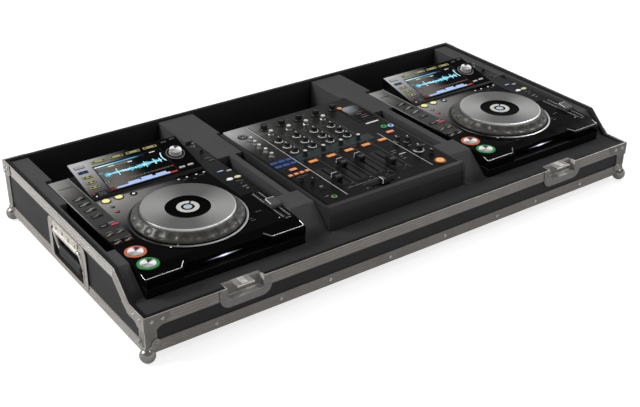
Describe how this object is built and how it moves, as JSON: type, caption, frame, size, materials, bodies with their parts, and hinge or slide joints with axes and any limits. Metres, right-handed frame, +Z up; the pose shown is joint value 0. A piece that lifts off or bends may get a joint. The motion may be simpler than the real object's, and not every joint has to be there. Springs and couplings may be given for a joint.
{
  "type": "dj coffin case",
  "caption": "Low, wide road case with aluminium edges, ball corners, spring handles and a foam insert that holds two media players and a mixer, all of which lift out.",
  "frame": {"origin": "on the floor, under the middle of the case's outer box", "axes": "+Z up, +X to the right for the person playing, +Y from the low front to the high rear; the four ball corners stand on z = 0"},
  "size_m": [1.1774, 0.6088, 0.1573],
  "materials": {
    "laminate": "matt black laminate on plywood, fine leather grain",
    "aluminium": "satin anodised, lengthwise grooves",
    "steel": "zinc plated, satin",
    "handle_rod": "bright plated rod",
    "grip_rubber": "matt moulded rubber",
    "foam": "charcoal closed-cell foam, matt and faintly speckled",
    "player_black": "glossy black moulding",
    "jog_silver": "spun metal plate over a smoky rim",
    "key_silver": "satin metal",
    "cap_black": "fine matt",
    "mixer_housing": "satin dark grey",
    "mixer_plate": "fine satin dark grey paint",
    "key_orange": "translucent, lit from below"
  },
  "bodies": {
    "case": {"base_panel": "laminate", "front_panel": "laminate", "rear_panel": "laminate", "left_side_panel": "laminate", "right_side_panel": "laminate", "front_bottom_profile": "aluminium", "rear_bottom_profile": "aluminium", "left_bottom_profile": "aluminium", "right_bottom_profile": "aluminium", "front_rim_left": "aluminium", "front_rim_middle": "aluminium", "front_rim_right": "aluminium", "rear_rim": "aluminium", "left_side_rim": "aluminium", "right_side_rim": "aluminium", "left_front_corner_post": "aluminium", "right_front_corner_post": "aluminium", "left_rear_corner_post": "aluminium", "right_rear_corner_post": "aluminium", "left_front_ball_corner": "steel", "right_front_ball_corner": "steel", "left_rear_ball_corner": "steel", "right_rear_ball_corner": "steel", "left_latch_dish": "steel", "right_latch_dish": "steel", "left_handle_dish": "steel", "right_handle_dish": "steel", "well_floor": "foam", "front_ledge": "foam", "left_side_foam": "foam", "right_side_foam": "foam", "left_divider": "foam", "right_divider": "foam"},
    "left_handle": {"left_handle_bail": "handle_rod", "left_handle_grip": "grip_rubber"},
    "right_handle": {"right_handle_bail": "handle_rod", "right_handle_grip": "grip_rubber"},
    "left_player": {"left_player_body": "player_black", "left_player_cover": "player_black"},
    "left_jog": {"left_player_jog_wheel": "jog_silver"},
    "left_cue": {"left_player_cue_button": "key_silver"},
    "left_play": {"left_player_play_button": "key_silver"},
    "left_tempo": {"left_player_tempo_slider": "cap_black"},
    "left_select": {"left_player_selector": "key_silver"},
    "right_player": {"right_player_body": "player_black", "right_player_cover": "player_black"},
    "right_jog": {"right_player_jog_wheel": "jog_silver"},
    "right_cue": {"right_player_cue_button": "key_silver"},
    "right_play": {"right_player_play_button": "key_silver"},
    "right_tempo": {"right_player_tempo_slider": "cap_black"},
    "right_select": {"right_player_selector": "key_silver"},
    "mixer": {"mixer_chassis": "mixer_housing", "mixer_panel": "mixer_plate"},
    "channel_fader_1": {"mixer_channel_fader_1": "cap_black"},
    "channel_fader_2": {"mixer_channel_fader_2": "cap_black"},
    "channel_fader_3": {"mixer_channel_fader_3": "cap_black"},
    "channel_fader_4": {"mixer_channel_fader_4": "cap_black"},
    "crossfader": {"mixer_crossfader": "cap_black"},
    "effect_button": {"mixer_effect_button": "key_orange"},
    "level_knob": {"mixer_level_knob": "cap_black"}
  },
  "joints": [
    {"name": "left_handle_swing", "type": "hinge", "parent": "case", "child": "left_handle", "pos_m": [-0.5805, 0.001, 0.0914], "axis": [0, 1, 0], "range_deg": [0, 90], "stiffness_Nm_per_rad": 0.3, "springref_deg": -11.46},
    {"name": "right_handle_swing", "type": "hinge", "parent": "case", "child": "right_handle", "pos_m": [0.5805, 0.001, 0.0914], "axis": [0, -1, 0], "range_deg": [0, 90], "stiffness_Nm_per_rad": 0.3, "springref_deg": -11.46},
    {"name": "left_player_lift", "type": "slide", "parent": "case", "child": "left_player", "axis": [0, 0, 1], "range_m": [0, 0.15]},
    {"name": "left_jog_turn", "type": "hinge", "parent": "left_player", "child": "left_jog", "pos_m": [-0.3845, -0.1006, 0.127], "axis": [0, 0, 1], "continuous": true},
    {"name": "left_cue_press", "type": "slide", "parent": "left_player", "child": "left_cue", "axis": [0, 0, -1], "range_m": [0, 0.0015], "stiffness_N_per_m": 1000, "springref_m": -0.001},
    {"name": "left_play_press", "type": "slide", "parent": "left_player", "child": "left_play", "axis": [0, 0, -1], "range_m": [0, 0.0015], "stiffness_N_per_m": 1000, "springref_m": -0.001},
    {"name": "left_tempo_slide", "type": "slide", "parent": "left_player", "child": "left_tempo", "axis": [0, 1, 0], "range_m": [-0.044, 0.056]},
    {"name": "left_select_turn", "type": "hinge", "parent": "left_player", "child": "left_select", "pos_m": [-0.2965, 0.1059, 0.14483], "axis": [0, -0.2139, 0.9769], "continuous": true},
    {"name": "right_player_lift", "type": "slide", "parent": "case", "child": "right_player", "axis": [0, 0, 1], "range_m": [0, 0.15]},
    {"name": "right_jog_turn", "type": "hinge", "parent": "right_player", "child": "right_jog", "pos_m": [0.3845, -0.1006, 0.127], "axis": [0, 0, 1], "continuous": true},
    {"name": "right_cue_press", "type": "slide", "parent": "right_player", "child": "right_cue", "axis": [0, 0, -1], "range_m": [0, 0.0015], "stiffness_N_per_m": 1000, "springref_m": -0.001},
    {"name": "right_play_press", "type": "slide", "parent": "right_player", "child": "right_play", "axis": [0, 0, -1], "range_m": [0, 0.0015], "stiffness_N_per_m": 1000, "springref_m": -0.001},
    {"name": "right_tempo_slide", "type": "slide", "parent": "right_player", "child": "right_tempo", "axis": [0, 1, 0], "range_m": [-0.044, 0.056]},
    {"name": "right_select_turn", "type": "hinge", "parent": "right_player", "child": "right_select", "pos_m": [0.4725, 0.1059, 0.14483], "axis": [0, -0.2139, 0.9769], "continuous": true},
    {"name": "mixer_lift", "type": "slide", "parent": "case", "child": "mixer", "axis": [0, 0, 1], "range_m": [0, 0.15]},
    {"name": "channel_fader_1_slide", "type": "slide", "parent": "mixer", "child": "channel_fader_1", "axis": [0, 1, 0], "range_m": [-0.0132, 0.0468]},
    {"name": "channel_fader_2_slide", "type": "slide", "parent": "mixer", "child": "channel_fader_2", "axis": [0, 1, 0], "range_m": [-0.057, 0.003]},
    {"name": "channel_fader_3_slide", "type": "slide", "parent": "mixer", "child": "channel_fader_3", "axis": [0, 1, 0], "range_m": [-0.057, 0.003]},
    {"name": "channel_fader_4_slide", "type": "slide", "parent": "mixer", "child": "channel_fader_4", "axis": [0, 1, 0], "range_m": [-0.0132, 0.0468]},
    {"name": "crossfader_slide", "type": "slide", "parent": "mixer", "child": "crossfader", "axis": [1, 0, 0], "range_m": [-0.0255, 0.0195]},
    {"name": "effect_button_press", "type": "slide", "parent": "mixer", "child": "effect_button", "axis": [0, 0, -1], "range_m": [0, 0.0015], "stiffness_N_per_m": 600, "springref_m": -0.001},
    {"name": "level_knob_turn", "type": "hinge", "parent": "mixer", "child": "level_knob", "pos_m": [0.125, -0.1393, 0.1335], "axis": [0, 0, 1], "range_deg": [-150, 150]}
  ]
}
